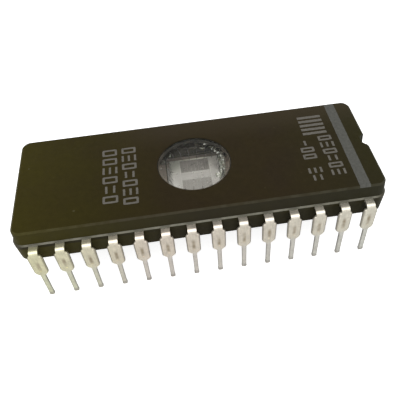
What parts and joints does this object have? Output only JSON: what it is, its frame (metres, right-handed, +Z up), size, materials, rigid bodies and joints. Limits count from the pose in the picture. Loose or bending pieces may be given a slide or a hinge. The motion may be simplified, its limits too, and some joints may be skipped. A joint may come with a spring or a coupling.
{
  "type": "windowed ceramic memory chip in a dual in-line package",
  "caption": "Dark ceramic chip package with a round glass window over the silicon die, bent tinned pins along both long sides and a notch at one end.",
  "frame": {"origin": "centre of the part on the plane of the pin tips, which is the centre of the bottom of its box", "axes": "+X along the body to the notched end beside pin 1, +Y to the row of pins 1 to 14, +Z up, out of the window"},
  "size_m": [0.0372, 0.0154, 0.0088],
  "materials": {
    "dark_ceramic": "fine matt brown-black pressed ceramic with a slight sheen",
    "seal_glass": "dark grey fired seal glass",
    "tinned_lead": "tin-dipped iron-nickel strip with fine lengthwise streaks",
    "window_glass": "clear glass that passes ultraviolet light",
    "window_frit": "dark fired glass frit",
    "silicon": "polished grey silicon with faint circuit blocks",
    "gold_attach": "dull gold attach layer",
    "bond_wire": "bright thin wire"
  },
  "bodies": {
    "root": {"base_seal_glass": "seal_glass", "bond_wires": "bond_wire", "cap_seal_glass": "seal_glass", "ceramic_base": "dark_ceramic", "ceramic_cap": "dark_ceramic", "die": "silicon", "die_attach": "gold_attach", "pin_01": "tinned_lead", "pin_02": "tinned_lead", "pin_03": "tinned_lead", "pin_04": "tinned_lead", "pin_05": "tinned_lead", "pin_06": "tinned_lead", "pin_07": "tinned_lead", "pin_08": "tinned_lead", "pin_09": "tinned_lead", "pin_10": "tinned_lead", "pin_11": "tinned_lead", "pin_12": "tinned_lead", "pin_13": "tinned_lead", "pin_14": "tinned_lead", "pin_15": "tinned_lead", "pin_16": "tinned_lead", "pin_17": "tinned_lead", "pin_18": "tinned_lead", "pin_19": "tinned_lead", "pin_20": "tinned_lead", "pin_21": "tinned_lead", "pin_22": "tinned_lead", "pin_23": "tinned_lead", "pin_24": "tinned_lead", "pin_25": "tinned_lead", "pin_26": "tinned_lead", "pin_27": "tinned_lead", "pin_28": "tinned_lead", "window_lens": "window_glass", "window_seal": "window_frit"}
  },
  "joints": []
}
